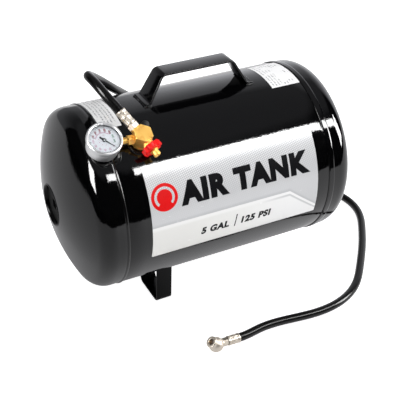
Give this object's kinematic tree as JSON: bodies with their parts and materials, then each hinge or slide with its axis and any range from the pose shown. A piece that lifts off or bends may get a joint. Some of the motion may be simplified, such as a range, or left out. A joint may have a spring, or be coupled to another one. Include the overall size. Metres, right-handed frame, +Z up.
{
  "type": "air receiver tank",
  "caption": "Portable horizontal compressed-air tank with strap handle, brass manifold, dial gauge, red shut-off wheel, fill valve and rubber hose with ball-foot air chuck.",
  "frame": {"origin": "centre of the foot's flat bottom face, on the floor", "axes": "+X along the tank's axis towards the plain end, -Y faces the labelled side, +Z up"},
  "size_m": [0.5551, 0.3665, 0.3789],
  "materials": {
    "black_paint": "gloss black powder coat",
    "black_plug": "black oxide",
    "brass": "machined, bright",
    "tube_bronze": "drawn phosphor bronze",
    "red_plastic": "moulded, semi-gloss",
    "gauge_steel": "brushed bright steel",
    "lens": "clear moulded lens",
    "dial": "white printed dial",
    "pointer_black": "matt black",
    "label_print": "printed silver vinyl film",
    "sticker_white": "white paper film",
    "hose_rubber": "smooth extruded cover",
    "nickel": "nickel plate",
    "seal_rubber": "moulded nitrile",
    "spring_steel": "drawn wire",
    "pin_brass": "turned",
    "cap_plastic": "moulded"
  },
  "bodies": {
    "tank": {"bourdon_tube": "tube_bronze", "chuck_body": "nickel", "chuck_ferrule": "nickel", "chuck_fitting": "nickel", "chuck_seal": "seal_rubber", "chuck_spring": "spring_steel", "fill_valve_body": "brass", "fill_valve_core": "brass", "fill_valve_spring": "spring_steel", "foot": "black_paint", "foot_welds": "black_paint", "front_label": "label_print", "gauge_bezel": "gauge_steel", "gauge_case": "gauge_steel", "gauge_dial": "dial", "gauge_lens": "lens", "gauge_movement": "brass", "gauge_socket": "brass", "handle": "black_paint", "handle_welds": "black_paint", "head_port_boss": "black_paint", "head_port_plug": "black_plug", "hose": "hose_rubber", "hose_fitting": "nickel", "left_head": "black_paint", "left_seam_weld": "black_paint", "left_sticker": "sticker_white", "manifold_body": "brass", "manifold_boss": "black_paint", "manifold_ferrule": "nickel", "right_head": "black_paint", "right_lap_ring": "black_paint", "right_sticker": "sticker_white", "shell_seam_weld": "black_paint", "tank_shell": "black_paint", "valve_bonnet": "brass", "valve_seal": "seal_rubber"},
    "pointer": {"gauge_pointer": "pointer_black"},
    "sector": {"sector_gear": "brass"},
    "valve_plug": {"valve_disc": "seal_rubber"},
    "hand_wheel": {"valve_spindle": "brass", "valve_knob": "red_plastic", "knob_nut": "brass"},
    "fill_pin": {"fill_valve_pin": "brass"},
    "dust_cap": {"fill_valve_cap": "cap_plastic"},
    "chuck_plunger": {"chuck_pin": "pin_brass"}
  },
  "joints": [
    {"name": "pointer_sweep", "type": "hinge", "parent": "tank", "child": "pointer", "pos_m": [-0.09588, -0.07927, 0.32274], "axis": [0, 0.5534, -0.8329], "range_deg": [0, 270]},
    {"name": "sector_swing", "type": "hinge", "parent": "tank", "child": "sector", "pos_m": [-0.09521, -0.06355, 0.31638], "axis": [0, -0.5534, 0.8329], "range_deg": [0, 39]},
    {"name": "valve_lift", "type": "slide", "parent": "tank", "child": "valve_plug", "axis": [0.309, -0.7922, -0.5263], "range_m": [0, 0.002]},
    {"name": "valve_turn", "type": "hinge", "parent": "valve_plug", "child": "hand_wheel", "pos_m": [-0.04009, -0.09145, 0.30732], "axis": [0.309, -0.7922, -0.5263], "range_deg": [0, 720]},
    {"name": "fill_pin_press", "type": "slide", "parent": "tank", "child": "fill_pin", "axis": [-0.5592, -0.6905, -0.4588], "range_m": [0, 0.0012], "stiffness_N_per_m": 400, "deforming": ["fill_valve_spring"]},
    {"name": "cap_lift", "type": "slide", "parent": "tank", "child": "dust_cap", "axis": [0.5592, 0.6905, 0.4588], "range_m": [0, 0.012]},
    {"name": "chuck_press", "type": "slide", "parent": "tank", "child": "chuck_plunger", "axis": [0.6943, 0.0208, -0.7194], "range_m": [0, 0.0022], "stiffness_N_per_m": 500, "deforming": ["chuck_spring"]}
  ],
  "couplings": [
    {"joint": "sector_swing", "follows": "pointer_sweep", "ratio": 0.14286},
    {"joint": "valve_lift", "follows": "valve_turn", "m_per_rad": 0.00014324}
  ]
}
